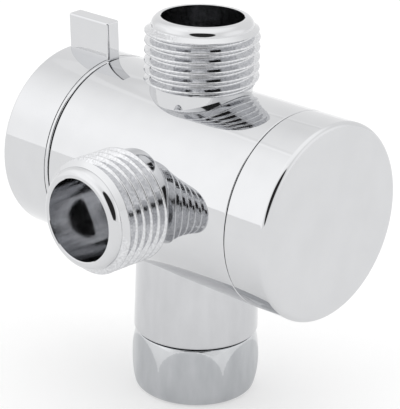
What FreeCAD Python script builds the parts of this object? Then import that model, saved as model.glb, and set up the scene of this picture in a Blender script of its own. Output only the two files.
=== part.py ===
import FreeCAD, Part
import math
import os

Vector = FreeCAD.Vector

# Shower diverter valve with one inlet below and two outlets, one on top and one in front.
# Millimetres. +Z runs up the inlet, +X runs from the selector knob to the end cap, and the
# front outlet points to -Y. The origin is the centre of the inlet's mouth, the swivel nut's
# lower face. The two outlets and the inlet meet on the axis of the cylindrical body.

# Half inch parallel pipe thread, 14 turns to the inch, on the inlet and on both outlets
thread_major_diameter = 20.955
thread_minor_diameter = 18.631

# Nuts and key sockets
hexagon_sides = 6

# Clearances
running_play = 0.05
seal_play = 0.02
fit_play = 0.01
part_gap = 0.3
edge_break = 0.3

# Cylindrical body
body_diameter = 36.4
body_left_length = 21.25
body_right_length = 22.6
knob_edge_bevel = 0.35
seam_bevel = 0.12
spigot_diameter = 31.6
spigot_length = 5.0
bore_diameter = 25.0
bore_left_wall = 7.25
stem_diameter = 9.9

# Outlets
top_outlet_reach = 30.9
front_outlet_reach = 30.65
outlet_floor_reach = 18.0
outlet_bore_diameter = 15.0
port_diameter = 6.6
port_edge_bevel = 0.2
neck_diameter = 18.8
lead_diameter = 18.6
lead_length = 1.6
lead_edge_bevel = 0.95
mouth_bevel = 0.2
outlet_thread_length = 10.8
thread_end_bevel = 0.6

# Inlet boss under the body
boss_diameter = 23.55
boss_draft_deg = 0.9
boss_reach = 29.7
boss_bevel = 0.5
inlet_passage_diameter = 11.0

# Swivel nut: a hexagon with crowned sides, trimmed by a barrel
nut_height = 11.6
nut_crown_flats = 22.9
nut_corner_diameter = 24.7
nut_top_diameter = 22.8
nut_belly_diameter = 24.2
nut_belly_height = 6.5
nut_bottom_diameter = 22.4
nut_bottom_round = 0.9
nut_turn_deg = 8.2
nut_lip_thickness = 2.0
nut_chamber_diameter = 19.8
nut_mouth_bevel = 0.4

# Tailpiece that carries the nut, and what lies under its flange
tailpiece_diameter = 15.1
tailpiece_bore_diameter = 9.8
tailpiece_hex_flats = 10.2
tailpiece_hex_depth = 4.0
tailpiece_socket_depth = 11.4
flange_thickness = 1.6
flange_diameter = 18.0
slip_ring_thickness = 0.4
screen_thickness = 0.5
screen_hole_diameter = 1.8
screen_hole_spacing = 2.5
screen_hole_rings = 2
washer_thickness = 2.0
washer_bore_diameter = 11.4

# O-rings, in their squeezed form, and how far each lies from the end of its bore or shaft
ring_section = 1.4
ring_corner = 0.4
ring_groove_play = 0.15
stem_ring_inset = 2.2
plug_ring_inset = 3.4
tailpiece_ring_inset = 2.9

# End plug and cap
plug_length = 11.4
plug_flange_thickness = 1.4
plug_flange_diameter = 29.6
plug_hex_flats = 10.0
plug_hex_depth = 5.0
cap_end_wall = 2.3
cap_end_round = 1.0
cap_play = 0.1

# Rotor
collar_thickness = 2.0
collar_diameter = 16.0
thrust_washer_thickness = 0.8
shaft_diameter = 9.0
journal_diameter = 6.8
journal_length = 5.0
stem_overhang = 1.15
drive_length = 7.4
drive_flats = 6.8
drive_corner_diameter = 9.2
bush_wall = 1.1
bush_flange_thickness = 0.8
bush_flange_diameter = 12.0

# Sealing pad that rides on the bore, its cup and its spring
pad_diameter = 10.0
pad_wall = 0.7
pad_thickness = 2.8
cup_rim_height = 1.0
cup_web = 1.0
cup_tube_length = 3.6
cup_tube_diameter = 8.0
cup_tube_wall = 1.0
pad_travel = 0.35
arm_wall = 1.6
spring_seat_depth = 1.6
spring_wire = 0.7
spring_turns = 3.5

# Knob and lever tab
knob_face_reach = 33.9
knob_end_wall = 2.5
knob_skirt = 2.2
knob_end_round = 0.7
knob_groove_inset = 0.65
knob_groove_width = 0.2
knob_groove_depth = 0.3
hub_diameter = 22.0
lever_height = 25.5
lever_width = 10.45
lever_thickness = 3.1
lever_round = 0.45
lever_overtravel_deg = 2.8
set_screw_diameter = 4.0
set_screw_length = 4.5
set_screw_hex_flats = 2.0
set_screw_hex_depth = 2.0
key_hole_diameter = 4.6

# Quarter turn stop
quarter_turn_deg = 90.0
stop_pin_diameter = 2.5
stop_pin_proud = 2.75
stop_pin_depth = 4.0
stop_pin_angle_deg = 60.0
stop_rib_thickness = 2.0

UP = Vector(0, 0, 1)
DOWN = Vector(0, 0, -1)
ALONG = Vector(1, 0, 0)
FRONT = Vector(0, -1, 0)

# Places that follow from the sizes
boss_end = nut_height + part_gap
axis_height = boss_end + boss_reach
centre = Vector(0, 0, axis_height)
body_left = -body_left_length
knob_inner = body_left - part_gap
bore_shoulder = body_left + bore_left_wall
spigot_end = body_right_length + spigot_length
plug_face = spigot_end - plug_length
stem_bore_radius = stem_diameter / 2 + running_play
socket_end = boss_end + tailpiece_socket_depth
lip_under = nut_height - nut_lip_thickness
slip_ring_top = lip_under - running_play
flange_top = slip_ring_top - slip_ring_thickness
flange_under = flange_top - flange_thickness
screen_under = flange_under - screen_thickness
washer_under = screen_under - washer_thickness
collar_left = bore_shoulder + running_play + thrust_washer_thickness
collar_right = collar_left + collar_thickness
bush_face = plug_face - bush_flange_thickness
rotor_shoulder = bush_face - part_gap
stem_end = body_left - stem_overhang
drive_end = stem_end - drive_length
knob_face = -knob_face_reach
knob_floor = knob_face + knob_end_wall
knob_inside_radius = body_diameter / 2 - knob_skirt
stop_pin_radius = (hub_diameter / 2 + knob_inside_radius) / 2
hub_end = stem_end - part_gap
set_screw_station = (knob_floor + hub_end) / 2
plug_flange_right = spigot_end + plug_flange_thickness
cap_floor = plug_flange_right + cap_play
cap_face = cap_floor + cap_end_wall
stem_ring_stations = [body_left + stem_ring_inset, bore_shoulder - stem_ring_inset]
plug_ring_station = plug_face + plug_ring_inset
tailpiece_ring_height = socket_end - tailpiece_ring_inset

# Heights on the pad's own axis, counted from the body's axis
pad_face = bore_diameter / 2 - running_play
pad_back = pad_face - pad_thickness
cup_rim = pad_back + cup_rim_height
cup_web_under = pad_back - cup_web
cup_tube_end = cup_web_under - cup_tube_length
arm_end = cup_web_under - pad_travel
cup_diameter = pad_diameter + 2 * pad_wall
cup_tube_bore = cup_tube_diameter - 2 * cup_tube_wall
arm_bore = cup_tube_diameter + 2 * running_play
arm_diameter = arm_bore + 2 * arm_wall


def turned(profile):
    """A solid of revolution about local Z from (radius, height) corners."""
    points = [Vector(radius, 0, height) for radius, height in profile]
    face = Part.Face(Part.makePolygon(points + [points[0]]))
    return face.revolve(Vector(0, 0, 0), UP, 360)


def ring(outer, inner, low, high):
    """A plain ring about local Z, given by its diameters and its two heights."""
    body = Part.makeCylinder(outer / 2, high - low, Vector(0, 0, low))
    hole = Part.makeCylinder(inner / 2, high - low, Vector(0, 0, low))
    return body.cut(hole)


def placed(shape, direction):
    """Stand a shape, made along local Z from the body's axis, on that axis."""
    moved = shape.copy()
    stand = FreeCAD.Placement(centre, FreeCAD.Rotation(UP, direction))
    moved.Placement = stand.multiply(shape.Placement)
    return moved


def leaning(shape):
    """Turn a piece of the selector from the lever's upright place to its stop."""
    moved = shape.copy()
    moved.rotate(centre, ALONG, lever_overtravel_deg)
    return moved


def hexagon_prism(flats, low, high):
    """A hexagonal prism about local Z with flat sides, for the sockets of hexagon keys."""
    step = 2 * math.pi / hexagon_sides
    corner = flats / 2 / math.cos(step / 2)
    points = []
    for side in range(hexagon_sides):
        points.append(Vector(corner * math.cos(side * step), corner * math.sin(side * step), low))
    face = Part.Face(Part.makePolygon(points + [points[0]]))
    return face.extrude(Vector(0, 0, high - low))


def squeezed_ring(wall_radius, station):
    """A rubber ring that seals outwards against a bore, flattened by the groove and the bore."""
    outer = wall_radius - seal_play
    inner = outer - ring_section
    low = station - ring_section / 2
    high = station + ring_section / 2
    return turned([
        (inner + ring_corner, low),
        (outer - ring_corner, low),
        (outer, low + ring_corner),
        (outer, high - ring_corner),
        (outer - ring_corner, high),
        (inner + ring_corner, high),
        (inner, high - ring_corner),
        (inner, low + ring_corner),
    ])


def ring_groove(wall_radius, station):
    """The groove for such a ring, as the material to cut from the shaft."""
    floor = wall_radius - 2 * seal_play - ring_section
    half = ring_section / 2 + ring_groove_play
    return ring(2 * wall_radius, 2 * floor, station - half, station + half)


def outlet_outside(reach):
    """Neck, threaded length and plain lead of an outlet, standing on the body's axis."""
    neck = neck_diameter / 2
    major = thread_major_diameter / 2
    lead = lead_diameter / 2
    thread_top = reach - lead_length
    thread_low = thread_top - outlet_thread_length
    return turned([
        (0, outlet_floor_reach - bore_left_wall),
        (neck, outlet_floor_reach - bore_left_wall),
        (neck, thread_low),
        (major, thread_low + thread_end_bevel),
        (major, thread_top - thread_end_bevel),
        (lead, thread_top),
        (lead, reach - lead_edge_bevel),
        (lead - lead_edge_bevel, reach),
        (0, reach),
    ])


def outlet_inside(reach):
    """The wide bore of an outlet, its bevelled mouth and the port through its floor."""
    bore = outlet_bore_diameter / 2
    port = port_diameter / 2
    return turned([
        (0, 0),
        (port, 0),
        (port, outlet_floor_reach - port_edge_bevel),
        (port + port_edge_bevel, outlet_floor_reach),
        (bore, outlet_floor_reach),
        (bore, reach - mouth_bevel),
        (bore + mouth_bevel, reach),
        (0, reach),
    ])


def make_valve_body():
    radius = body_diameter / 2
    spigot = spigot_diameter / 2
    barrel = turned([
        (0, body_left),
        (radius - knob_edge_bevel, body_left),
        (radius, body_left + knob_edge_bevel),
        (radius, body_right_length - seam_bevel),
        (radius - seam_bevel, body_right_length),
        (spigot, body_right_length),
        (spigot, spigot_end - edge_break),
        (spigot - edge_break, spigot_end),
        (0, spigot_end),
    ])
    boss = boss_diameter / 2
    boss_top = boss - boss_reach * math.tan(math.radians(boss_draft_deg))
    inlet_boss = turned([
        (0, 0),
        (boss_top, 0),
        (boss, boss_reach - boss_bevel),
        (boss - boss_bevel, boss_reach),
        (0, boss_reach),
    ])
    body = placed(barrel, ALONG)
    body = body.fuse(placed(inlet_boss, DOWN))
    body = body.fuse(placed(outlet_outside(top_outlet_reach), UP))
    body = body.fuse(placed(outlet_outside(front_outlet_reach), FRONT))
    bore = turned([
        (0, body_left),
        (stem_bore_radius, body_left),
        (stem_bore_radius, bore_shoulder),
        (bore_diameter / 2, bore_shoulder),
        (bore_diameter / 2, spigot_end),
        (0, spigot_end),
    ])
    body = body.cut(placed(bore, ALONG))
    body = body.cut(placed(outlet_inside(top_outlet_reach), UP))
    body = body.cut(placed(outlet_inside(front_outlet_reach), FRONT))
    socket = tailpiece_diameter / 2 + running_play
    body = body.cut(Part.makeCylinder(socket, socket_end - boss_end, Vector(0, 0, boss_end)))
    passage = inlet_passage_diameter / 2
    body = body.cut(Part.makeCylinder(passage, axis_height - socket_end, Vector(0, 0, socket_end)))
    return body.cut(stop_pin_at(stop_pin_diameter + 2 * fit_play)).removeSplitter()


def stop_pin_at(diameter):
    """A cylinder at the stop pin's place in the body's end face."""
    angle = math.radians(stop_pin_angle_deg)
    start = Vector(
        body_left - stop_pin_proud,
        stop_pin_radius * math.sin(angle),
        axis_height + stop_pin_radius * math.cos(angle),
    )
    return Part.makeCylinder(diameter / 2, stop_pin_proud + stop_pin_depth, start, ALONG)


def make_stop_pin():
    pin = stop_pin_at(stop_pin_diameter)
    rims = [edge for edge in pin.Edges if isinstance(edge.Curve, Part.Circle)]
    return pin.makeChamfer(edge_break, rims)


def make_end_plug():
    body = bore_diameter / 2 - running_play
    flange = plug_flange_diameter / 2
    plug = turned([
        (0, plug_face),
        (body - edge_break, plug_face),
        (body, plug_face + edge_break),
        (body, spigot_end),
        (flange, spigot_end),
        (flange, plug_flange_right - edge_break),
        (flange - edge_break, plug_flange_right),
        (0, plug_flange_right),
    ])
    socket_radius = journal_diameter / 2 + running_play + bush_wall + fit_play
    socket_depth = journal_length + 2 * part_gap
    plug = plug.cut(Part.makeCylinder(socket_radius, socket_depth, Vector(0, 0, plug_face)))
    plug = plug.cut(hexagon_prism(plug_hex_flats, plug_flange_right - plug_hex_depth, plug_flange_right))
    plug = plug.cut(ring_groove(bore_diameter / 2, plug_ring_station))
    return placed(plug, ALONG)


def make_end_cap():
    radius = body_diameter / 2
    cap = turned([
        (0, cap_face),
        (radius, cap_face),
        (radius, body_right_length + seam_bevel),
        (radius - seam_bevel, body_right_length),
        (spigot_diameter / 2 + running_play, body_right_length),
        (spigot_diameter / 2 + running_play, cap_floor),
        (0, cap_floor),
    ])
    rim = [
        edge for edge in cap.Edges
        if isinstance(edge.Curve, Part.Circle)
        and edge.CenterOfMass.z > cap_face - fit_play
    ]
    return placed(cap.makeFillet(cap_end_round, rim), ALONG)


def make_tailpiece():
    tube = tailpiece_diameter / 2
    flange = flange_diameter / 2
    bore = tailpiece_bore_diameter / 2
    piece = turned([
        (bore, flange_under),
        (flange, flange_under),
        (flange, flange_top),
        (tube, flange_top),
        (tube, socket_end - edge_break),
        (tube - edge_break, socket_end),
        (bore, socket_end),
    ])
    piece = piece.cut(hexagon_prism(tailpiece_hex_flats, flange_under, flange_under + tailpiece_hex_depth))
    return piece.cut(ring_groove(tube + running_play, tailpiece_ring_height))


def make_inlet_screen():
    """A flat strainer with a hexagonal pattern of holes."""
    screen = Part.makeCylinder(flange_diameter / 2, screen_thickness, Vector(0, 0, screen_under))
    holes = []
    for row in range(-screen_hole_rings, screen_hole_rings + 1):
        in_row = 2 * screen_hole_rings + 1 - abs(row)
        for place in range(in_row):
            x = (place - (in_row - 1) / 2) * screen_hole_spacing
            y = row * screen_hole_spacing * math.sqrt(3) / 2
            start = Vector(x, y, screen_under)
            holes.append(Part.makeCylinder(screen_hole_diameter / 2, screen_thickness, start))
    return screen.cut(holes)


def crowned_hexagon():
    """The nut's outline: six sides that bulge a little between the corners."""
    corner = nut_corner_diameter / 2
    crown = nut_crown_flats / 2
    step = 2 * math.pi / hexagon_sides
    turn = math.radians(nut_turn_deg)
    sides = []
    for side in range(hexagon_sides):
        middle = turn + side * step
        ends = []
        for angle in (middle - step / 2, middle + step / 2):
            ends.append(Vector(corner * math.cos(angle), corner * math.sin(angle), 0))
        bulge = Vector(crown * math.cos(middle), crown * math.sin(middle), 0)
        sides.append(Part.Arc(ends[0], bulge, ends[1]).toShape())
    return Part.Face(Part.Wire(sides))


def make_swivel_nut():
    prism = crowned_hexagon().extrude(Vector(0, 0, nut_height))
    bottom = Vector(nut_bottom_diameter / 2, 0, 0)
    belly = Vector(nut_belly_diameter / 2, 0, nut_belly_height)
    top = Vector(nut_top_diameter / 2, 0, nut_height)
    outline = Part.Wire([
        Part.makeLine(Vector(0, 0, 0), bottom),
        Part.Arc(bottom, belly, top).toShape(),
        Part.makeLine(top, Vector(0, 0, nut_height)),
        Part.makeLine(Vector(0, 0, nut_height), Vector(0, 0, 0)),
    ])
    barrel = Part.Face(outline).revolve(Vector(0, 0, 0), UP, 360)
    low_rim = [
        edge for edge in barrel.Edges
        if isinstance(edge.Curve, Part.Circle) and edge.BoundBox.ZMax < fit_play
    ]
    barrel = barrel.makeFillet(nut_bottom_round, low_rim)
    thread = thread_minor_diameter / 2
    inside = turned([
        (0, 0),
        (thread + nut_mouth_bevel, 0),
        (thread, nut_mouth_bevel),
        (thread, washer_under),
        (nut_chamber_diameter / 2, washer_under),
        (nut_chamber_diameter / 2, lip_under),
        (tailpiece_diameter / 2 + part_gap, lip_under),
        (tailpiece_diameter / 2 + part_gap, nut_height),
        (0, nut_height),
    ])
    return prism.common(barrel).cut(inside)


def make_rotor():
    stem = stem_diameter / 2
    shaft = shaft_diameter / 2
    journal = journal_diameter / 2
    turned_part = turned([
        (0, stem_end),
        (stem - edge_break, stem_end),
        (stem, stem_end + edge_break),
        (stem, collar_left),
        (collar_diameter / 2, collar_left),
        (collar_diameter / 2, collar_right),
        (shaft, collar_right),
        (shaft, rotor_shoulder),
        (journal, rotor_shoulder),
        (journal, bush_face + journal_length - edge_break),
        (journal - edge_break, bush_face + journal_length),
        (0, bush_face + journal_length),
    ])
    for station in stem_ring_stations:
        turned_part = turned_part.cut(ring_groove(stem_bore_radius, station))
    rotor = placed(turned_part.fuse(square_drive(0)), ALONG)
    arm = Part.makeCylinder(arm_diameter / 2, arm_end)
    rotor = rotor.fuse(placed(arm, FRONT))
    socket_length = arm_end - spring_seat_depth
    socket = Part.makeCylinder(arm_bore / 2, socket_length, Vector(0, 0, spring_seat_depth))
    return leaning(rotor.cut(placed(socket, FRONT)).removeSplitter())


def square_drive(play):
    """The square end of the stem along local Z, or with play the hole that fits over it."""
    flats = drive_flats + 2 * play
    low = drive_end - play
    corner = drive_corner_diameter / 2 + play
    square = Part.makeBox(flats, flats, stem_end - low, Vector(-flats / 2, -flats / 2, low))
    return square.common(Part.makeCylinder(corner, stem_end - low, Vector(0, 0, low)))


def make_pad_cup():
    """The cup holds the pad in its rim and slides in the rotor's arm on its tube."""
    rim = cup_diameter / 2
    cup = turned([
        (0, pad_back),
        (pad_diameter / 2, pad_back),
        (pad_diameter / 2, cup_rim),
        (rim, cup_rim),
        (rim, cup_web_under),
        (cup_tube_diameter / 2, cup_web_under),
        (cup_tube_diameter / 2, cup_tube_end),
        (cup_tube_bore / 2, cup_tube_end),
        (cup_tube_bore / 2, cup_web_under),
        (0, cup_web_under),
    ])
    return leaning(placed(cup, FRONT))


def make_seal_pad():
    """A rubber disc whose face is curved to the bore that it slides on."""
    disc = Part.makeCylinder(pad_diameter / 2, pad_thickness, Vector(0, 0, pad_back))
    disc = placed(disc, FRONT)
    start = Vector(-pad_diameter, 0, axis_height)
    face = Part.makeCylinder(pad_face, 2 * pad_diameter, start, ALONG)
    return leaning(disc.common(face))


def make_pad_spring():
    """A compression spring of square wire between the arm's floor and the cup."""
    wire = spring_wire / 2
    coil = cup_tube_bore / 2 - wire - running_play
    low = spring_seat_depth + wire
    high = cup_web_under - wire
    helix = Part.makeLongHelix((high - low) / spring_turns, high - low, coil)
    corners = [
        Vector(coil - wire, 0, -wire),
        Vector(coil + wire, 0, -wire),
        Vector(coil + wire, 0, wire),
        Vector(coil - wire, 0, wire),
    ]
    section = Part.makePolygon(corners + [corners[0]])
    spring = Part.Wire(helix).makePipeShell([section], True, True)
    spring.translate(Vector(0, 0, low))
    return leaning(placed(spring, FRONT))


def make_pivot_bush():
    """The plastic bush in the end plug that carries the rotor's end journal."""
    inner = journal_diameter / 2 + running_play
    outer = inner + bush_wall
    bush = turned([
        (inner, bush_face),
        (bush_flange_diameter / 2, bush_face),
        (bush_flange_diameter / 2, plug_face),
        (outer, plug_face),
        (outer, bush_face + journal_length),
        (inner, bush_face + journal_length),
    ])
    return placed(bush, ALONG)


def knob_cup():
    """The knob's skirt and end wall, with a fine groove beside its seam, turned about local Z."""
    radius = body_diameter / 2
    groove_right = knob_inner - knob_groove_inset
    groove_left = groove_right - knob_groove_width
    cup = turned([
        (0, knob_face),
        (radius, knob_face),
        (radius, groove_left),
        (radius - knob_groove_depth, groove_left),
        (radius - knob_groove_depth, groove_right),
        (radius, groove_right),
        (radius, knob_inner - knob_edge_bevel),
        (radius - knob_edge_bevel, knob_inner),
        (knob_inside_radius, knob_inner),
        (knob_inside_radius, knob_floor),
        (0, knob_floor),
    ])
    rim = [
        edge for edge in cup.Edges
        if isinstance(edge.Curve, Part.Circle) and edge.CenterOfMass.z < knob_face + fit_play
    ]
    return cup.makeFillet(knob_end_round, rim)


def lever_tab():
    """The flat lever on the knob, upright, with softened edges."""
    root = body_diameter / 2 - knob_skirt / 2
    start = Vector(knob_inner - lever_width, -lever_thickness / 2, axis_height + root)
    tab = Part.makeBox(lever_width, lever_thickness, lever_height - root, start)
    above_root = [edge for edge in tab.Edges if edge.BoundBox.ZMax > start.z + fit_play]
    return tab.makeFillet(lever_round, above_root)


def stop_rib(face_angle_deg, side):
    """A radial rib in the knob whose face, at the given angle, meets the stop pin."""
    inner = (hub_diameter + drive_corner_diameter) / 4
    outer = body_diameter / 2 - knob_skirt / 2
    depth = hub_end - knob_floor
    edge = min(0, side * stop_rib_thickness)
    start = Vector(knob_floor, edge, axis_height + inner)
    rib = Part.makeBox(depth, stop_rib_thickness, outer - inner, start)
    rib.rotate(centre, ALONG, -face_angle_deg)
    return rib


def make_knob():
    hub = Part.makeCylinder(hub_diameter / 2, hub_end - knob_floor, Vector(0, 0, knob_floor))
    turned_part = knob_cup().fuse(hub).cut(square_drive(running_play))
    knob = placed(turned_part, ALONG).fuse(lever_tab())
    pin_side = math.degrees(math.asin((stop_pin_diameter / 2 + part_gap) / stop_pin_radius))
    at_rest = stop_pin_angle_deg + pin_side + lever_overtravel_deg
    at_end = stop_pin_angle_deg - pin_side - lever_overtravel_deg - quarter_turn_deg
    knob = knob.fuse(stop_rib(at_rest, 1))
    knob = knob.fuse(stop_rib(at_end, -1))
    knob = knob.cut(under_hub(set_screw_diameter / 2 + fit_play, 0, hub_diameter / 2))
    knob = knob.cut(under_hub(key_hole_diameter / 2, hub_diameter / 2, body_diameter))
    return leaning(knob.removeSplitter())


def under_hub(radius, start, end):
    """A radial cylinder that points down from the knob's hub, opposite the lever."""
    place = Vector(set_screw_station, 0, axis_height - start)
    return Part.makeCylinder(radius, end - start, place, DOWN)


def make_set_screw():
    seat = drive_flats / 2
    screw = under_hub(set_screw_diameter / 2, seat, seat + set_screw_length)
    socket = hexagon_prism(set_screw_hex_flats, 0, set_screw_hex_depth)
    socket.translate(Vector(set_screw_station, 0, axis_height - seat - set_screw_length))
    return leaning(screw.cut(socket))


def make_parts():
    stem_rings = []
    for station in stem_ring_stations:
        stem_rings.append(leaning(placed(squeezed_ring(stem_bore_radius, station), ALONG)))
    thrust_left = bore_shoulder + running_play
    thrust_washer = ring(collar_diameter, 2 * stem_bore_radius, thrust_left, collar_left)
    tailpiece_socket = tailpiece_diameter / 2 + running_play
    return {
        "valve_body": make_valve_body(),
        "stop_pin": make_stop_pin(),
        "end_plug": make_end_plug(),
        "plug_o_ring": placed(squeezed_ring(bore_diameter / 2, plug_ring_station), ALONG),
        "pivot_bush": make_pivot_bush(),
        "end_cap": make_end_cap(),
        "tailpiece": make_tailpiece(),
        "tailpiece_o_ring": squeezed_ring(tailpiece_socket, tailpiece_ring_height),
        "slip_ring": ring(flange_diameter, tailpiece_diameter + 2 * part_gap, flange_top, slip_ring_top),
        "inlet_screen": make_inlet_screen(),
        "inlet_washer": ring(flange_diameter, washer_bore_diameter, washer_under, screen_under),
        "swivel_nut": make_swivel_nut(),
        "rotor": make_rotor(),
        "stem_o_ring_outer": stem_rings[0],
        "stem_o_ring_inner": stem_rings[1],
        "thrust_washer": leaning(placed(thrust_washer, ALONG)),
        "pad_cup": make_pad_cup(),
        "seal_pad": make_seal_pad(),
        "pad_spring": make_pad_spring(),
        "knob": make_knob(),
        "set_screw": make_set_screw(),
    }


def main():
    os.makedirs("parts", exist_ok=True)
    for name, shape in make_parts().items():
        shape.exportStep("parts/" + name + ".step")
        print(name, "solids", len(shape.Solids), "volume", round(shape.Volume, 1))


main()
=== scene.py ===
import math
import bmesh
import bpy
import numpy as np
from mathutils import Matrix, Vector


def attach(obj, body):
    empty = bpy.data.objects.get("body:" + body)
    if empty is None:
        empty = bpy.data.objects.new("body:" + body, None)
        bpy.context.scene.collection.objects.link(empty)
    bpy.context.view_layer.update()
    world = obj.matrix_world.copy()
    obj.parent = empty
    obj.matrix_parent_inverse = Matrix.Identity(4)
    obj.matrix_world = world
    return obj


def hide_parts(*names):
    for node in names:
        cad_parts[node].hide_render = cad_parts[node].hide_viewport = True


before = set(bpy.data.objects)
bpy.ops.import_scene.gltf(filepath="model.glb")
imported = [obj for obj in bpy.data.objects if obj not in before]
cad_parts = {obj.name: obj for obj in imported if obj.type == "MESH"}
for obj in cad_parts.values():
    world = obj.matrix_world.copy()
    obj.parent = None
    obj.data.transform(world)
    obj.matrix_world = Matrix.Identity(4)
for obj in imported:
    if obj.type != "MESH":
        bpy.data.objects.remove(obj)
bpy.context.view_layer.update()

# Looks of the shower diverter valve. Forms are made in millimetres in the CAD model's frame and
# turned into metres when they become pieces. Angles are in radians.
MM = 0.001

# Half inch parallel pipe thread of the outlets and of the nut, with rounded crests and roots
thread_pitch = 1.814
thread_crest = 10.4775
thread_depth = 1.162
thread_rounding = 0.249
thread_flank = math.radians(27.5)
thread_steps = 96
thread_arc_steps = 3

# Cylindrical body
axis_height = 41.6
body_radius = 18.2
body_left = -21.25
body_right = 22.6
body_edge_round = 0.35
seam_round = 0.18
seam_gap = 0.16
spigot_radius = 15.8
spigot_end = 27.6
bore_radius = 12.5
bore_shoulder = -14.0
stem_bore_radius = 5.0
edge_round = 0.3

# Outlets, measured from the body's axis along their own axes
top_reach = 30.9
front_reach = 30.65
outlet_floor = 18.0
outlet_bore = 7.5
port_radius = 3.3
port_bevel = 0.2
mouth_bevel = 0.1
neck_radius = 9.4
neck_root = 10.0
lead_radius = 9.3
lead_length = 1.6
lead_bevel = 0.95
lead_round = 1.5
lead_end_round = 1.4
thread_length = 10.8
thread_end = 1.2
top_crest_height = 28.65
top_crest_angle = math.radians(-47.4)
front_crest_height = 28.3
front_crest_angle = 0.0

# Inlet boss and the passage above it
boss_end = 11.9
boss_radius = 11.775
boss_top_radius = 11.308
boss_round = 0.5
socket_radius = 7.6
socket_end = 23.3
passage_radius = 5.5

# Hole of the stop pin in the body's end face
pin_hole_radius = 1.26
pin_radius = 13.5
pin_angle = math.radians(60)
pin_depth = 4.0

# Swivel nut: crowned sides, a barrel and a blend between them
nut_sides = 6
nut_height = 11.6
nut_crown = 11.4
nut_corner = 12.15
nut_bottom = 11.2
nut_belly = 12.1
nut_belly_height = 6.5
nut_top = 11.3
nut_round = 0.9
nut_top_round = 0.2
nut_turn = math.radians(8.2)
nut_blend = 0.12
nut_mouth_bevel = 0.4
nut_thread_cone = 2.0
nut_thread_stop = 0.1
nut_steps = 432
nut_rows = 44
nut_rim_rows = 9
chamber_low = 5.05
chamber_radius = 9.9
lip_under = 9.6
lip_radius = 7.85

# Knob and lever
knob_inner = -21.55
knob_face = -33.9
knob_floor = -31.4
knob_skirt = 2.2
knob_round = 0.7
knob_groove_inset = 0.65
knob_groove_width = 0.2
knob_groove_depth = 0.3
hub_radius = 11.0
hub_end = -22.7
lever_height = 25.5
lever_width = 10.45
lever_thickness = 3.1
lever_round = 0.45
lever_lean = math.radians(2.8)

# End cap
cap_floor = 29.1
cap_face = 31.4
cap_round = 1.0
cap_play = 0.05

# How far a form reaches past the faces that it cuts, and an outlet's neck into its thread
overshoot = 1.0
neck_overlap = 0.1

# Steps around a turned form and around a small hole, and the largest step along a rounding
round_steps = 160
hole_steps = 32
arc_step = math.radians(12)

# How near points are that become one in a form and in a piece
form_weld = 1e-5
piece_weld = 1e-4

# How near a face lies to its surface, how much a wrong facing counts against one, how far an arc
# holds past its ends, the step over which slopes are measured, and what counts as nothing
near_enough = 0.05
facing_weight = 0.04
arc_margin = 1e-3
slope_step = 1e-3
tiny = 1e-6

# Camera, fitted to the photo
camera_azimuth = math.radians(42.58)
camera_elevation = math.radians(21.589)
camera_roll = math.radians(1.339)
camera_distance = 339.3
camera_target = Vector((0.63, 0, 35.69))
camera_focal_pixels = 1830.2
camera_shift_pixels = (-1.008, 3.848)
camera_clip = (0.01, 100)
image_height = 409
sensor_size = 36.0

# Studio: the floor, the light's level, and the lobes that raise or lower it, with their azimuth
# and elevation in degrees, the angles from their middle at which they are full and gone, and
# their factor. They are the bright side on the left, the bright ceiling, a weak light on the
# right, a dull corner on the far left, the dark place of the camera, and three that leave a thin
# bright and a thin dark ring, the rim of a panel over the object.
floor_reach = 6.0
floor_height = -0.05
floor_glow = 0.45
light_level = 1.0
light_lobes = [
    (-42, 15, 13, 58, 1.37),
    (0, 90, 16, 50, 1.3),
    (118, 12, 12, 38, 1.2),
    (-62, 5, 5, 24, 0.88),
    (42.6, 27, 25, 29, 0.03),
    (176, 68, 46.2, 46.5, 1.06),
    (176, 68, 44.9, 45.3, 0.89),
    (176, 68, 43.5, 44.1, 1.06),
]

# Values between which a noise pattern mostly lies
noise_span = (0.3, 0.7)

# Numbers of the finishes in a piece's list of materials
# The satin finish is darker than the chrome to paint shade, the shoulder finish lighter to paint a
# highlight, and the bare finish darker to paint shade in the bores.
PLATED, BARE_PAINTED_SHADE, THREADED, SATIN_PAINTED_SHADE, SHOULDER_PAINTED_HIGHLIGHT = range(5)

centre = Vector((0, 0, axis_height))
GROUND = Matrix.Identity(4)
STANDING = Matrix.Translation(centre)
ALONG = STANDING @ Matrix.Rotation(math.radians(90), 4, "Y")
FRONT = STANDING @ Matrix.Rotation(math.radians(90), 4, "X")
DOWN = STANDING @ Matrix.Rotation(math.radians(180), 4, "X")
LEANING = STANDING @ Matrix.Rotation(lever_lean, 4, "X") @ STANDING.inverted()


# Surfaces tell how far points lie from them and which way they face there. They give every
# corner of a mesh its true normal, so that the chrome reflects without facets.

def to_local(place, points):
    inverse = np.array(place.inverted())
    return points @ inverse[:3, :3].T + inverse[:3, 3]


def to_frame(place, directions):
    return directions @ np.array(place)[:3, :3].T


def around(points):
    """Radius, angle and height of points about the Z axis."""
    x, y, height = points.T
    return np.hypot(x, y), np.arctan2(y, x), height


def polar(radius, angle, height):
    """The point with a radius, an angle and a height about the Z axis."""
    return Vector((radius * math.cos(angle), radius * math.sin(angle), height))


def unit(vector):
    return vector / np.linalg.norm(vector)


def radial_direction(angle, outward, turning, upward):
    """Directions from their parts away from the Z axis, around it and along it."""
    return np.stack([
        outward * np.cos(angle) - turning * np.sin(angle),
        outward * np.sin(angle) + turning * np.cos(angle),
        upward,
    ], axis=1)


def line_element(radius, height, start, end):
    """Distance to a straight part of a profile, and its normal in the profile's plane."""
    along = np.subtract(end, start)
    length = np.linalg.norm(along)
    along = along / length
    offset = np.stack([radius - start[0], height - start[1]], axis=1)
    share = np.clip(offset @ along, 0, length)
    distance = np.linalg.norm(offset - share[:, None] * along, axis=1)
    return distance, np.tile([along[1], -along[0]], (len(radius), 1))


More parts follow.
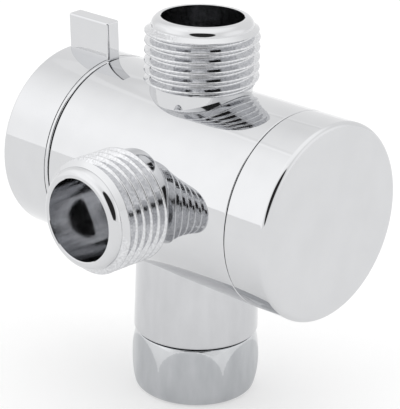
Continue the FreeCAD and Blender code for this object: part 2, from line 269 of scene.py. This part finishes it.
def arc_element(radius, height, middle, size, start, end):
    """The same for a round part with its middle, its radius and its two ends."""
    offset = np.stack([radius - middle[0], height - middle[1]], axis=1)
    reach = np.linalg.norm(offset, axis=1)
    normal = offset / np.maximum(reach, tiny)[:, None]
    heading = unit(np.add(start, end) / 2 - middle)
    inside = normal @ heading > heading @ np.subtract(start, middle) / size - arc_margin
    to_start = np.hypot(radius - start[0], height - start[1])
    to_end = np.hypot(radius - end[0], height - end[1])
    return np.where(inside, np.abs(reach - size), np.minimum(to_start, to_end)), normal


class Surface:
    finish = PLATED


class Turned(Surface):
    """One element of a profile, turned about its place's Z axis."""

    def __init__(self, place, element, *values):
        self.place = place
        self.element = element
        self.values = values

    def measure(self, points):
        radius, angle, height = around(to_local(self.place, points))
        distance, normal = self.element(radius, height, *self.values)
        local = radial_direction(angle, normal[:, 0], np.zeros_like(angle), normal[:, 1])
        return distance, to_frame(self.place, local)


class Helical(Surface):
    """One element of a thread, given about a line that winds around its place's Z axis."""

    finish = THREADED

    def __init__(self, place, start, turn, shift, element, *values):
        self.place = place
        self.start = start + shift
        self.turn = turn
        self.element = element
        self.values = values

    def measure(self, points):
        radius, angle, height = around(to_local(self.place, points))
        rise = thread_pitch / (2 * math.pi)
        along = height - self.start - rise * (angle - self.turn)
        along = (along + thread_pitch / 2) % thread_pitch - thread_pitch / 2
        distance, normal = self.element(radius, along, *self.values)
        turning = -normal[:, 1] * rise / np.maximum(radius, tiny)
        local = radial_direction(angle, normal[:, 0], turning, normal[:, 1])
        return distance, to_frame(self.place, local)


class RoundedBox(Surface):
    """The sides and the rounded edges of a box with its middle and half sizes."""

    def __init__(self, place, middle, half, size):
        self.place = place
        self.middle = np.array(middle)
        self.core = np.array(half) - size
        self.size = size

    def measure(self, points):
        local = to_local(self.place, points) - self.middle
        offset = local - np.clip(local, -self.core, self.core)
        reach = np.linalg.norm(offset, axis=1)
        normal = offset / np.maximum(reach, tiny)[:, None]
        return np.abs(reach - self.size), to_frame(self.place, normal)


class Outline(Surface):
    """A form about the frame's Z axis whose radius is a function of angle and height.

    It holds everywhere, or only where another function of both says so."""

    def __init__(self, finish, reach, holds=None):
        self.finish = finish
        self.reach = reach
        self.holds = holds

    def measure(self, points):
        radius, angle, height = around(points)
        reach = self.reach
        turned_by = reach(angle + slope_step, height) - reach(angle - slope_step, height)
        risen_by = reach(angle, height + slope_step) - reach(angle, height - slope_step)
        turning = -turned_by / (2 * slope_step) / np.maximum(radius, tiny)
        upward = -risen_by / (2 * slope_step)
        normal = radial_direction(angle, np.ones_like(angle), turning, upward)
        distance = np.abs(radius - reach(angle, height))
        if self.holds:
            distance = np.where(self.holds(angle, height), distance, np.inf)
        return distance, normal


def new_object(name, data):
    item = bpy.data.objects.new(name, data)
    bpy.context.scene.collection.objects.link(item)
    return item


class Form:
    """A closed mesh in millimetres, together with the surfaces that bound it."""

    def __init__(self, mesh, surfaces):
        self.mesh = mesh
        self.surfaces = surfaces

    def combined(self, operation, others):
        """This form with the others added to it, taken away or kept in common, in turn."""
        base = new_object("base", self.mesh)
        tools = [new_object("tool", other.mesh) for other in others]
        for tool in tools:
            step = base.modifiers.new("combine", "BOOLEAN")
            step.operation = operation
            step.solver = "MANIFOLD"
            step.object = tool
        evaluated = base.evaluated_get(bpy.context.evaluated_depsgraph_get())
        result = bpy.data.meshes.new_from_object(evaluated)
        for used in [base] + tools:
            bpy.data.objects.remove(used)
        surfaces = [surface for form in (self, *others) for surface in form.surfaces]
        return Form(result, surfaces)

    def plus(self, *others):
        return self.combined("UNION", others)

    def minus(self, *others):
        return self.combined("DIFFERENCE", others)

    def within(self, *others):
        return self.combined("INTERSECT", others)


def finished(finish, form):
    """The form with all its surfaces marked to have one finish."""
    for surface in form.surfaces:
        surface.finish = finish
    return form


def closed_mesh(vertices, faces):
    mesh = bpy.data.meshes.new("form")
    mesh.from_pydata(vertices, [], faces)
    shaping = bmesh.new()
    shaping.from_mesh(mesh)
    bmesh.ops.remove_doubles(shaping, verts=shaping.verts, dist=form_weld)
    bmesh.ops.recalc_face_normals(shaping, faces=shaping.faces)
    shaping.to_mesh(mesh)
    shaping.free()
    return mesh


def rounded_corner(before, corner, after, size):
    """Start, end and middle of the arc that rounds a profile's corner."""
    to_before = unit(np.subtract(before, corner))
    to_after = unit(np.subtract(after, corner))
    half = math.acos(np.clip(to_before @ to_after, -1, 1)) / 2
    inset = size / math.tan(half)
    middle = corner + unit(to_before + to_after) * size / math.sin(half)
    return corner + to_before * inset, corner + to_after * inset, middle


def arc_points(start, end, middle):
    """Points along the short way round an arc, both ends included."""
    first = start - middle
    last = end - middle
    turn = math.atan2(first[0] * last[1] - first[1] * last[0], first @ last)
    steps = max(2, math.ceil(abs(turn) / arc_step))
    points = []
    for angle in np.linspace(0, turn, steps + 1):
        cos, sin = math.cos(angle), math.sin(angle)
        points.append(middle + [first[0] * cos - first[1] * sin, first[0] * sin + first[1] * cos])
    return points


def profile_path(corners):
    """Points and elements of a closed profile with corners of (radius, height, rounding)."""
    points = []
    elements = []
    ends = []
    for index, (radius, height, *size) in enumerate(corners):
        corner = np.array([radius, height], float)
        ends.append((corner, corner))
        if not size:
            points.append([corner])
            continue
        after = corners[(index + 1) % len(corners)]
        start, end, middle = rounded_corner(corners[index - 1][:2], corner, after[:2], size[0])
        ends[-1] = (start, end)
        points.append(arc_points(start, end, middle))
        elements.append((arc_element, middle, size[0], start, end))
    for index, (_, start) in enumerate(ends):
        end = ends[(index + 1) % len(ends)][0]
        if max(start[0], end[0]) > 0 and np.linalg.norm(end - start) > tiny:
            elements.append((line_element, start, end))
    return [point for group in points for point in group], elements


def turned_surfaces(place, corners):
    return [Turned(place, *element) for element in profile_path(corners)[1]]


def turned(place, corners, steps=round_steps):
    """A solid of revolution about the place's Z axis."""
    points = profile_path(corners)[0]
    count = len(points)
    vertices = []
    for angle in 2 * math.pi * np.arange(steps) / steps:
        for radius, height in points:
            vertices.append(place @ polar(radius, angle, height))
    faces = []
    for step in range(steps):
        here = step * count
        there = (step + 1) % steps * count
        for index in range(count):
            after = (index + 1) % count
            corner_on_axis = points[index][0] < tiny
            after_on_axis = points[after][0] < tiny
            if corner_on_axis and after_on_axis:
                continue
            if corner_on_axis:
                faces.append((here + index, there + after, here + after))
            elif after_on_axis:
                faces.append((here + index, there + index, here + after))
            else:
                faces.append((here + index, there + index, there + after, here + after))
    return Form(closed_mesh(vertices, faces), turned_surfaces(place, corners))


def thread_profile():
    """Points of one pitch of the thread from crest to crest, and its elements with their shifts."""
    turn = math.pi / 2 - thread_flank
    half = thread_pitch / 2
    crest = np.array([thread_crest - thread_rounding, 0])
    root = np.array([thread_crest - thread_depth + thread_rounding, 0])
    tip = thread_rounding * np.array([math.cos(turn), math.sin(turn)])
    down = np.array([1, -1])
    arcs = [
        (crest, 1, np.linspace(0, 1, thread_arc_steps + 1)),
        (root + [0, half], -1, np.linspace(-1, 1, 2 * thread_arc_steps + 1)),
        (crest + [0, thread_pitch], 1, np.linspace(-1, 0, thread_arc_steps + 1)[:-1]),
    ]
    points = []
    for middle, side, shares in arcs:
        for angle in turn * shares:
            offset = np.array([side * math.cos(angle), math.sin(angle)])
            points.append(middle + thread_rounding * offset)
    crest_end = crest + tip
    root_end = root + tip * [-1, 1]
    quarter = np.array([0, half / 2])
    elements = [
        (0, arc_element, crest, thread_rounding, crest_end * down, crest_end),
        (half, arc_element, root, thread_rounding, root_end * down, root_end),
        (half / 2, line_element, crest_end - quarter, root_end * down + quarter),
        (-half / 2, line_element, crest_end * down + quarter, root_end - quarter),
    ]
    return points, elements


def threaded_rod(place, low, high, start, turn):
    """A long thread as a solid, with a crest at the height of start where the angle is turn."""
    points, elements = thread_profile()
    per_turn = len(points)
    below = math.ceil((start - low) / thread_pitch) + 1
    turns = below + math.ceil((high - start) / thread_pitch) + 1
    rows = turns * per_turn + 1
    vertices = []
    for step in range(thread_steps):
        share = step / thread_steps
        angle = turn + 2 * math.pi * share
        for row in range(rows):
            radius, along = points[row % per_turn]
            height = start + along + thread_pitch * (row // per_turn - below + share)
            vertices.append(place @ polar(radius, angle, height))
    bottom = len(vertices)
    top = bottom + 1
    vertices.append(place @ Vector((0, 0, start - thread_pitch * below)))
    vertices.append(place @ Vector((0, 0, start + thread_pitch * (turns - below))))
    faces = []
    last = (thread_steps - 1) * rows
    for here in range(0, last, rows):
        there = here + rows
        for row in range(rows - 1):
            faces.append((here + row, there + row, there + row + 1, here + row + 1))
        faces.append((bottom, there, here))
        faces.append((top, here + rows - 1, there + rows - 1))
    for row in range(rows - 1 - per_turn):
        faces.append((last + row, row + per_turn, row + per_turn + 1, last + row + 1))
    for row in range(per_turn):
        faces.append((bottom, row, row + 1))
        faces.append((top, last + rows - 1 - row, last + rows - 2 - row))
    faces.append((bottom, per_turn, last))
    faces.append((top, last + rows - 1 - per_turn, rows - 1))
    surfaces = [Helical(place, start, turn, *element) for element in elements]
    return Form(closed_mesh(vertices, faces), surfaces)


def threaded_outlet(place, reach, start, turn):
    """Neck, thread and plain lead of an outlet."""
    thread_top = reach - lead_length
    thread_low = thread_top - thread_length
    rod = threaded_rod(place, thread_low, reach + overshoot, start, turn)
    envelope = turned(place, [
        (0, thread_low),
        (neck_radius, thread_low),
        (thread_crest + overshoot, thread_low + thread_end),
        (thread_crest + overshoot, thread_top - thread_end),
        (lead_radius, thread_top),
        (lead_radius, reach - lead_bevel, lead_round),
        (lead_radius - lead_bevel, reach, lead_end_round),
        (0, reach),
    ])
    neck = turned(place, [
        (0, neck_root),
        (neck_radius, neck_root),
        (neck_radius, thread_low + neck_overlap),
        (0, thread_low + neck_overlap),
    ])
    return rod.within(envelope).plus(neck)


def outlet_hollows(place, reach):
    """The port with the wide bore above it, and the cone that bevels the mouth."""
    # The port and bore walls get the darker bare metal, whose colour partly paints shade inside
    # them.
    wall = finished(BARE_PAINTED_SHADE, turned(place, [
        (0, 0),
        (port_radius, 0),
        (port_radius, outlet_floor - port_bevel),
        (port_radius + port_bevel, outlet_floor),
        (outlet_bore, outlet_floor),
        (outlet_bore, reach + overshoot),
        (0, reach + overshoot),
    ]))
    mouth = turned(place, [
        (0, reach - outlet_bore - mouth_bevel),
        (outlet_bore + mouth_bevel + overshoot, reach + overshoot),
        (0, reach + overshoot),
    ])
    return wall, mouth


def make_valve_body():
    barrel = turned(ALONG, [
        (0, body_left),
        (body_radius, body_left, body_edge_round),
        (body_radius, body_right, seam_round),
        (spigot_radius, body_right),
        (spigot_radius, spigot_end, edge_round),
        (0, spigot_end),
    ])
    # The boss gets the satin finish, whose colour is darker than the chrome: painted shade.
    boss = finished(SATIN_PAINTED_SHADE, turned(DOWN, [
        (0, 0),
        (boss_top_radius, 0),
        (boss_radius, axis_height - boss_end, boss_round),
        (0, axis_height - boss_end),
    ]))
    # The body's bore and passage get the darker bare metal, whose colour partly paints shade inside
    # them.
    bore = finished(BARE_PAINTED_SHADE, turned(ALONG, [
        (0, body_left - overshoot),
        (stem_bore_radius, body_left - overshoot),
        (stem_bore_radius, bore_shoulder),
        (bore_radius, bore_shoulder),
        (bore_radius, spigot_end + overshoot),
        (0, spigot_end + overshoot),
    ]))
    passage = finished(BARE_PAINTED_SHADE, turned(GROUND, [
        (0, boss_end - overshoot),
        (socket_radius, boss_end - overshoot),
        (socket_radius, socket_end),
        (passage_radius, socket_end),
        (passage_radius, axis_height),
        (0, axis_height),
    ]))
    pin_up = pin_radius * math.cos(pin_angle)
    pin_aside = pin_radius * math.sin(pin_angle)
    pin_hole = turned(ALONG @ Matrix.Translation((-pin_up, pin_aside, body_left)), [
        (0, -overshoot),
        (pin_hole_radius, -overshoot),
        (pin_hole_radius, pin_depth),
        (0, pin_depth),
    ], hole_steps)
    top = threaded_outlet(STANDING, top_reach, top_crest_height, top_crest_angle)
    front = threaded_outlet(FRONT, front_reach, front_crest_height, front_crest_angle)
    solid = barrel.plus(boss, top, front)
    hollows = [bore, passage, pin_hole]
    hollows += outlet_hollows(STANDING, top_reach)
    hollows += outlet_hollows(FRONT, front_reach)
    return solid.minus(*hollows)


def make_end_cap():
    return turned(ALONG, [
        (0, cap_face),
        (body_radius, cap_face, cap_round),
        (body_radius, body_right + seam_gap, seam_round),
        (spigot_radius + cap_play, body_right + seam_gap),
        (spigot_radius + cap_play, cap_floor),
        (0, cap_floor),
    ])


def rim_inset(depth, size):
    """How far a rounded rim stands back at a depth behind its face."""
    inside = size - np.clip(depth, 0, size)
    return size - np.sqrt(size ** 2 - inside ** 2)


def nut_hexagon(angle):
    """Radius of the nut's six crowned sides."""
    side = 2 * math.pi / nut_sides
    offset = (angle - nut_turn + side / 2) % side - side / 2
    corner_across = nut_corner * math.cos(side / 2)
    middle = (nut_corner ** 2 - nut_crown ** 2) / (2 * (corner_across - nut_crown))
    size = nut_crown - middle
    return middle * np.cos(offset) + np.sqrt(size ** 2 - (middle * np.sin(offset)) ** 2)


def nut_barrel(height):
    """Radius of the barrel through the nut's bottom, belly and top, with its rounded rims."""
    rows = 2 * np.array([
        [nut_belly - nut_bottom, nut_belly_height],
        [nut_top - nut_bottom, nut_height],
    ])
    squares = [
        nut_belly ** 2 + nut_belly_height ** 2 - nut_bottom ** 2,
        nut_top ** 2 + nut_height ** 2 - nut_bottom ** 2,
    ]
    middle_radius, middle_height = np.linalg.solve(rows, squares)
    size = math.hypot(nut_bottom - middle_radius, middle_height)
    plain = middle_radius + np.sqrt(size ** 2 - (height - middle_height) ** 2)
    return plain - rim_inset(height, nut_round) - rim_inset(nut_height - height, nut_top_round)


def nut_reach(angle, height):
    """Radius of the nut: the sides and the barrel, with a blend where they meet."""
    hexagon = nut_hexagon(angle)
    barrel = nut_barrel(height)
    share = np.clip(1 - np.abs(hexagon - barrel) / nut_blend, 0, 1)
    return np.minimum(hexagon, barrel) - share ** 2 * nut_blend / 4


def on_nut_shoulder(angle, height):
    """Whether a place is on one of the shoulders that the barrel cuts off the upper corners, where
    a lighter colour paints a highlight.
    """
    return (nut_hexagon(angle) > nut_barrel(height)) & (height > nut_belly_height)


def nut_outside(steps=nut_steps):
    rim = 1 - np.cos(np.linspace(0, math.pi / 2, nut_rim_rows))
    heights = np.concatenate([
        nut_round * rim,
        np.linspace(nut_round, nut_height - nut_top_round, nut_rows)[1:-1],
        nut_height - nut_top_round * rim[::-1],
    ])
    angles = 2 * math.pi * np.arange(steps) / steps
    vertices = []
    for height in heights:
        for angle, radius in zip(angles, nut_reach(angles, height)):
            vertices.append(polar(radius, angle, height))
    bottom = len(vertices)
    top_row = bottom - steps
    vertices.append((0, 0, 0))
    vertices.append((0, 0, nut_height))
    faces = []
    for step in range(steps):
        after = (step + 1) % steps
        for row in range(0, top_row, steps):
            faces.append((row + step, row + after, row + steps + after, row + steps + step))
        faces.append((bottom, after, step))
        faces.append((bottom + 1, top_row + step, top_row + after))
    # The nut's shoulders get a lighter colour, a painted highlight, and its other sides a darker
    # one, painted shade.
    surfaces = [Outline(SHOULDER_PAINTED_HIGHLIGHT, nut_reach, on_nut_shoulder), Outline(SATIN_PAINTED_SHADE, nut_reach)]
    return Form(closed_mesh(vertices, faces), surfaces)


def make_swivel_nut():
    root = thread_crest - thread_depth
    mouth = root + nut_mouth_bevel
    hollow = turned(GROUND, [
        (0, -overshoot),
        (mouth + overshoot, -overshoot),
        (root, nut_mouth_bevel),
        (root, chamber_low),
        (chamber_radius, chamber_low),
        (chamber_radius, lip_under),
        (lip_radius, lip_under),
        (lip_radius, nut_height + overshoot),
        (0, nut_height + overshoot),
    ])
    thread_reach = turned(GROUND, [
        (0, -overshoot),
        (mouth - overshoot, -overshoot),
        (mouth + nut_thread_cone, nut_thread_cone),
        (mouth + nut_thread_cone, chamber_low - nut_thread_stop),
        (0, chamber_low - nut_thread_stop),
    ])
    thread = threaded_rod(GROUND, -overshoot, chamber_low, 0, 0).within(thread_reach)
    return nut_outside().minus(hollow, thread)


def make_knob():
    """The CAD knob's own form, with the surfaces of its skirt, its face and its lever."""
    skirt_inside = body_radius - knob_skirt
    groove_floor = body_radius - knob_groove_depth
    groove_right = knob_inner - knob_groove_inset
    groove_left = groove_right - knob_groove_width
    cup = turned_surfaces(ALONG, [
        (0, knob_face),
        (body_radius, knob_face, knob_round),
        (body_radius, groove_left),
        (groove_floor, groove_left),
        (groove_floor, groove_right),
        (body_radius, groove_right),
        (body_radius, knob_inner, body_edge_round),
        (skirt_inside, knob_inner),
        (skirt_inside, knob_floor),
        (hub_radius, knob_floor),
        (hub_radius, hub_end),
        (0, hub_end),
    ])
    lever_middle = (knob_inner - lever_width / 2, 0, axis_height + lever_height / 2)
    lever_half = (lever_width / 2, lever_thickness / 2, lever_height / 2)
    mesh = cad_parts["knob"].data.copy()
    mesh.transform(Matrix.Scale(1 / MM, 4))
    return Form(mesh, cup + [RoundedBox(LEANING, lever_middle, lever_half, lever_round)])


def corner_normals(mesh, surfaces):
    """For each face's corners the normals of the surface that it lies on, and that one's finish."""
    points = np.array([vertex.co for vertex in mesh.vertices], float)
    corners = np.array([polygon.vertices[:] for polygon in mesh.polygons])
    flat = np.array([polygon.normal for polygon in mesh.polygons], float)
    best = np.full(len(corners), near_enough)
    finish = np.full(len(corners), PLATED)
    normals = np.repeat(flat[:, None, :], 3, axis=1)
    for surface in surfaces:
        distance, normal = surface.measure(points)
        normal = normal / np.maximum(np.linalg.norm(normal, axis=1), tiny)[:, None]
        own = normal[corners]
        facing = np.einsum("ijk,ik->ij", own, flat)
        own = own * np.where(facing < 0, -1, 1)[:, :, None]
        cost = distance[corners].max(axis=1) + facing_weight * (1 - np.abs(facing).min(axis=1))
        better = cost < best
        best[better] = cost[better]
        finish[better] = surface.finish
        normals[better] = own[better]
    return normals.reshape(-1, 3), finish


def make_piece(form, name, body, finishes):
    """A smooth piece in metres that stands for the CAD node of the same name."""
    mesh = form.mesh
    shaping = bmesh.new()
    shaping.from_mesh(mesh)
    bmesh.ops.remove_doubles(shaping, verts=shaping.verts, dist=piece_weld)
    bmesh.ops.dissolve_degenerate(shaping, edges=shaping.edges, dist=piece_weld)
    bmesh.ops.triangulate(shaping, faces=shaping.faces)
    shaping.to_mesh(mesh)
    shaping.free()
    mesh.update()
    mesh.polygons.foreach_set("use_smooth", [True] * len(mesh.polygons))
    normals, finish = corner_normals(mesh, form.surfaces)
    mesh.transform(Matrix.Scale(MM, 4))
    mesh.normals_split_custom_set([tuple(normal) for normal in normals])
    mesh.materials.clear()
    used = sorted(set(finish))
    for number in used:
        mesh.materials.append(finishes[number])
    mesh.polygons.foreach_set("material_index", np.searchsorted(used, finish))
    piece = new_object(name + "_look", mesh)
    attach(piece, body)
    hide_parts(name)


class Finish:
    """A material with noise patterns, sized in millimetres, that drive one Principled shader."""

    def __init__(self, name, metallic):
        self.material = bpy.data.materials.new(name)
        self.material.use_nodes = True
        self.nodes = self.material.node_tree.nodes
        self.links = self.material.node_tree.links
        self.shader = self.nodes["Principled BSDF"]
        self.shader.inputs["Metallic"].default_value = metallic
        self.place = self.nodes.new("ShaderNodeTexCoord").outputs["Object"]

    def noise(self, size, stretch=(1, 1, 1), detail=2):
        """A pattern with marks of about the given size, drawn out along the axes by stretch."""
        mapping = self.nodes.new("ShaderNodeMapping")
        mapping.inputs["Scale"].default_value = [1 / (size * MM * factor) for factor in stretch]
        texture = self.nodes.new("ShaderNodeTexNoise")
        texture.inputs["Scale"].default_value = 1
        texture.inputs["Detail"].default_value = detail
        self.links.new(self.place, mapping.inputs["Vector"])
        self.links.new(mapping.outputs["Vector"], texture.inputs["Vector"])
        return texture.outputs["Fac"]

    def colour(self, pattern, dark, light):
        ramp = self.nodes.new("ShaderNodeValToRGB")
        for element, position, shade in zip(ramp.color_ramp.elements, noise_span, (dark, light)):
            element.position = position
            element.color = (*shade, 1)
        self.links.new(pattern, ramp.inputs["Fac"])
        self.links.new(ramp.outputs["Color"], self.shader.inputs["Base Color"])

    def roughness(self, pattern, low, high):
        spread = self.nodes.new("ShaderNodeMapRange")
        for end, position, value in zip(("Min", "Max"), noise_span, (low, high)):
            spread.inputs["From " + end].default_value = position
            spread.inputs["To " + end].default_value = value
        self.links.new(pattern, spread.inputs["Value"])
        self.links.new(spread.outputs["Result"], self.shader.inputs["Roughness"])

    def relief(self, pattern, height):
        bump = self.nodes.new("ShaderNodeBump")
        bump.inputs["Strength"].default_value = 1
        bump.inputs["Distance"].default_value = height * MM
        self.links.new(pattern, bump.inputs["Height"])
        self.links.new(bump.outputs["Normal"], self.shader.inputs["Normal"])


def chrome():
    finish = Finish("chrome", 1)
    finish.colour(finish.noise(6), (0.63, 0.635, 0.647), (0.65, 0.655, 0.667))
    finish.roughness(finish.noise(1.5), 0.02, 0.05)
    finish.relief(finish.noise(4), 0.004)
    return finish.material


def bare_metal_painted_shade():
    """The duller walls inside the outlets and the body, with tool marks along the bores, in a
    colour darker than the chrome that paints shade inside the bores.
    """
    finish = Finish("bare_metal_painted_shade", 1)
    finish.colour(finish.noise(0.6, (1, 14, 14)), (0.47, 0.475, 0.49), (0.67, 0.675, 0.69))
    finish.roughness(finish.noise(0.8), 0.08, 0.16)
    finish.relief(finish.noise(0.5, (1, 14, 14)), 0.012)
    return finish.material


def threaded_chrome():
    """Plating on the cut threads, with the grain of the cut under it."""
    finish = Finish("threaded_chrome", 1)
    finish.colour(finish.noise(0.4), (0.57, 0.575, 0.59), (0.74, 0.745, 0.76))
    finish.roughness(finish.noise(0.5), 0.04, 0.08)
    finish.relief(finish.noise(0.3), 0.004)
    return finish.material


def satin_chrome_painted_light(name, dark, light):
    """Plating on the boss and the nut, with the cloudy upright streaks of their polishing, in the
    colours it is given: darker than the chrome to paint shade on the boss and the nut's sides,
    lighter to paint a highlight on the nut's shoulders.
    """
    finish = Finish(name, 1)
    finish.colour(finish.noise(3, (1, 1, 3), 4), dark, light)
    finish.roughness(finish.noise(1.2, (1, 1, 4)), 0.04, 0.1)
    finish.relief(finish.noise(3, (1, 1, 3)), 0.01)
    return finish.material


def brass():
    finish = Finish("brass", 1)
    finish.colour(finish.noise(3), (0.74, 0.58, 0.31), (0.82, 0.66, 0.37))
    finish.roughness(finish.noise(0.4, (6, 1, 1)), 0.18, 0.34)
    finish.relief(finish.noise(0.3, (8, 1, 1)), 0.003)
    return finish.material


def rubber():
    finish = Finish("rubber", 0)
    finish.colour(finish.noise(1.5), (0.022, 0.022, 0.022), (0.038, 0.038, 0.038))
    finish.roughness(finish.noise(0.8), 0.55, 0.75)
    finish.relief(finish.noise(0.25), 0.01)
    return finish.material


def white_plastic():
    finish = Finish("white_plastic", 0)
    finish.colour(finish.noise(3), (0.83, 0.83, 0.80), (0.88, 0.88, 0.85))
    finish.roughness(finish.noise(0.6), 0.38, 0.52)
    finish.relief(finish.noise(0.3), 0.004)
    return finish.material


def stainless():
    finish = Finish("stainless", 1)
    finish.colour(finish.noise(2), (0.58, 0.58, 0.59), (0.66, 0.66, 0.67))
    finish.roughness(finish.noise(0.2, (10, 1, 1)), 0.2, 0.36)
    finish.relief(finish.noise(0.15, (12, 1, 1)), 0.002)
    return finish.material


def finish_inner_parts():
    """Give each CAD node that shows as it is the material of its slot."""
    for make, names in inner_parts.items():
        material = make()
        for name in names:
            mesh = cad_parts[name].data
            mesh.materials.clear()
            mesh.materials.append(material)


def direction(azimuth, elevation):
    """The direction at an azimuth, counted from the front towards the right, and an elevation."""
    level = math.cos(elevation)
    return Vector((math.sin(azimuth) * level, -math.cos(azimuth) * level, math.sin(elevation)))


def make_camera():
    back = direction(camera_azimuth, camera_elevation)
    level = Vector((math.cos(camera_azimuth), math.sin(camera_azimuth), 0))
    turn = Matrix.Rotation(camera_roll, 3, "Z")
    axes = Matrix((level, back.cross(level), back)).transposed() @ turn
    data = bpy.data.cameras.new("camera")
    data.sensor_width = sensor_size
    data.lens = camera_focal_pixels * sensor_size / image_height
    data.shift_x = camera_shift_pixels[0] / image_height
    data.shift_y = camera_shift_pixels[1] / image_height
    data.clip_start, data.clip_end = camera_clip
    camera = new_object("camera", data)
    position = (camera_target + back * camera_distance) * MM
    camera.matrix_world = Matrix.Translation(position) @ axes.to_4x4()
    bpy.context.scene.camera = camera


def make_floor():
    finish = Finish("floor", 0)
    finish.colour(finish.noise(40), (0.575, 0.575, 0.575), (0.585, 0.585, 0.585))
    finish.shader.inputs["Roughness"].default_value = 1
    finish.shader.inputs["Specular IOR Level"].default_value = 0
    finish.shader.inputs["Emission Color"].default_value = (1, 1, 1, 1)
    path = finish.nodes.new("ShaderNodeLightPath")
    seen = path.outputs["Is Camera Ray"]
    for ray in ("Is Glossy Ray", "Is Transmission Ray"):
        either = finish.nodes.new("ShaderNodeMath")
        either.operation = "MAXIMUM"
        finish.links.new(seen, either.inputs[0])
        finish.links.new(path.outputs[ray], either.inputs[1])
        seen = either.outputs["Value"]
    glow = finish.nodes.new("ShaderNodeMapRange")
    glow.inputs["To Max"].default_value = floor_glow
    finish.links.new(seen, glow.inputs["Value"])
    finish.links.new(glow.outputs["Result"], finish.shader.inputs["Emission Strength"])
    corners = [(-1, -1), (1, -1), (1, 1), (-1, 1)]
    mesh = bpy.data.meshes.new("floor")
    vertices = [(x * floor_reach, y * floor_reach, floor_height * MM) for x, y in corners]
    mesh.from_pydata(vertices, [], [(0, 1, 2, 3)])
    mesh.materials.append(finish.material)
    floor = new_object("floor", mesh)


def make_world():
    """Soft light from all sides, as the product of the lobes in the list at the top."""
    world = bpy.data.worlds.new("studio")
    world.use_nodes = True
    nodes = world.node_tree.nodes
    links = world.node_tree.links
    place = nodes.new("ShaderNodeTexCoord").outputs["Generated"]
    strength = None
    for azimuth, elevation, full, none, factor in light_lobes:
        facing = nodes.new("ShaderNodeVectorMath")
        facing.operation = "DOT_PRODUCT"
        facing.inputs[1].default_value = direction(math.radians(azimuth), math.radians(elevation))
        lobe = nodes.new("ShaderNodeMapRange")
        lobe.interpolation_type = "SMOOTHSTEP"
        lobe.inputs["From Min"].default_value = math.cos(math.radians(none))
        lobe.inputs["From Max"].default_value = math.cos(math.radians(full))
        lobe.inputs["To Min"].default_value = light_level
        lobe.inputs["To Max"].default_value = light_level * factor
        links.new(place, facing.inputs[0])
        links.new(facing.outputs["Value"], lobe.inputs["Value"])
        if strength is None:
            strength = lobe.outputs["Result"]
            continue
        product = nodes.new("ShaderNodeMath")
        product.operation = "MULTIPLY"
        links.new(strength, product.inputs[0])
        links.new(lobe.outputs["Result"], product.inputs[1])
        strength = product.outputs["Value"]
    background = nodes["Background"]
    background.inputs["Color"].default_value = (1, 1, 1, 1)
    links.new(strength, background.inputs["Strength"])
    bpy.context.scene.world = world


inner_parts = {
    brass: ["end_plug", "tailpiece", "rotor"],
    rubber: [
        "plug_o_ring", "tailpiece_o_ring", "inlet_washer",
        "stem_o_ring_outer", "stem_o_ring_inner", "seal_pad",
    ],
    white_plastic: ["pivot_bush", "slip_ring", "thrust_washer", "pad_cup"],
    stainless: ["stop_pin", "inlet_screen", "pad_spring", "set_screw"],
}

make_camera()
make_floor()
make_world()
metals = [chrome(), bare_metal_painted_shade(), threaded_chrome()]
# The boss's plating is darker than the chrome: painted shade.
boss_metal_painted_shade = satin_chrome_painted_light("boss_chrome_painted_shade", (0.56, 0.565, 0.58), (0.61, 0.615, 0.63))
# The nut's sides are darker than the chrome, painted shade, and its shoulders lighter, a painted
# highlight.
nut_metals_painted_light = [
    satin_chrome_painted_light("nut_chrome_painted_shade", (0.45, 0.462, 0.48), (0.53, 0.542, 0.56)),
    satin_chrome_painted_light("nut_shoulder_chrome_painted_highlight", (0.55, 0.56, 0.575), (0.61, 0.62, 0.635)),
]
make_piece(make_valve_body(), "valve_body", "valve", metals + [boss_metal_painted_shade])
make_piece(make_end_cap(), "end_cap", "valve", metals)
make_piece(make_swivel_nut(), "swivel_nut", "nut", metals + nut_metals_painted_light)
make_piece(make_knob(), "knob", "selector", metals)
finish_inner_parts()

bpy.context.scene.view_settings.view_transform = "Standard"
